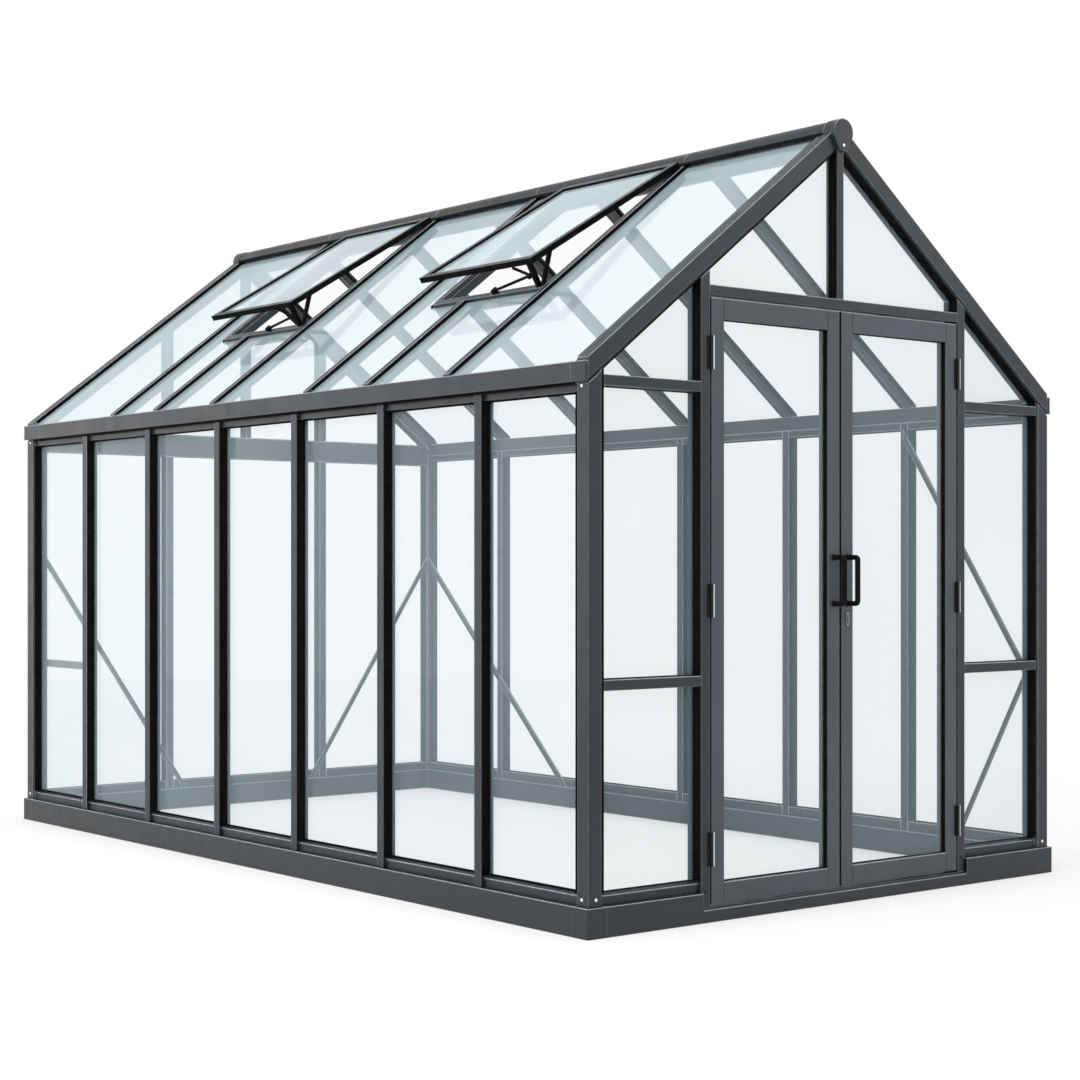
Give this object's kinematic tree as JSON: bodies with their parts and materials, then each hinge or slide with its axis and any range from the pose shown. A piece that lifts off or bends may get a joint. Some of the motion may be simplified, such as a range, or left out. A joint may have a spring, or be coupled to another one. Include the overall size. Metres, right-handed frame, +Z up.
{
  "type": "greenhouse",
  "caption": "Apex greenhouse with a dark coated aluminium frame and clear glass, hinged double doors in the front gable, gutters, a rounded ridge and propped roof vents.",
  "frame": {"origin": "middle of the box at ground level", "axes": "+Z up, +Y along the ridge from the doors to the back gable, +X to the right as seen from the doors"},
  "size_m": [2.108, 3.703, 2.4663],
  "materials": {
    "frame_paint": "satin",
    "glass": "gloss",
    "black_fittings": "matte",
    "bare_metal": "satin"
  },
  "bodies": {
    "frame": {"base_side_rails": "frame_paint", "base_back_rail": "frame_paint", "base_front_rails": "frame_paint", "base_corners": "frame_paint", "door_sill": "frame_paint", "corner_posts": "frame_paint", "left_wall_bars": "frame_paint", "right_wall_bars": "frame_paint", "side_sill_rails": "frame_paint", "gable_sill_rails": "frame_paint", "eaves_rails": "frame_paint", "gutters": "frame_paint", "gutter_end_caps": "frame_paint", "left_rafters": "frame_paint", "right_rafters": "frame_paint", "left_roof_bars": "frame_paint", "right_roof_bars": "frame_paint", "ridge_beam": "frame_paint", "ridge_caps": "frame_paint", "ridge_end_caps": "frame_paint", "door_jambs": "frame_paint", "door_head": "frame_paint", "king_posts": "frame_paint", "front_transoms": "frame_paint", "back_mullions": "frame_paint", "back_rails": "frame_paint", "wall_braces": "frame_paint", "vent_sills": "frame_paint", "vent_frames": "frame_paint", "left_wall_glass": "glass", "right_wall_glass": "glass", "left_roof_glass": "glass", "right_roof_glass": "glass", "front_gable_glass": "glass", "back_gable_glass": "glass", "vent_glass": "glass", "vent_openers": "black_fittings", "jamb_hinges": "bare_metal"},
    "left_door": {"left_door_stiles": "frame_paint", "left_door_rails": "frame_paint", "left_door_glass": "glass", "left_door_handle": "black_fittings", "left_door_hinges": "bare_metal"},
    "right_door": {"right_door_stiles": "frame_paint", "right_door_rails": "frame_paint", "right_door_glass": "glass", "right_door_handle": "black_fittings", "right_door_hinges": "bare_metal", "door_lock": "bare_metal"}
  },
  "joints": [
    {"name": "left_door_hinge", "type": "hinge", "parent": "frame", "child": "left_door", "pos_m": [-0.5615, -1.807, 0.956], "axis": [0, 0, -1], "range_deg": [0, 110]},
    {"name": "right_door_hinge", "type": "hinge", "parent": "frame", "child": "right_door", "pos_m": [0.5615, -1.807, 0.956], "axis": [0, 0, 1], "range_deg": [0, 110]}
  ]
}
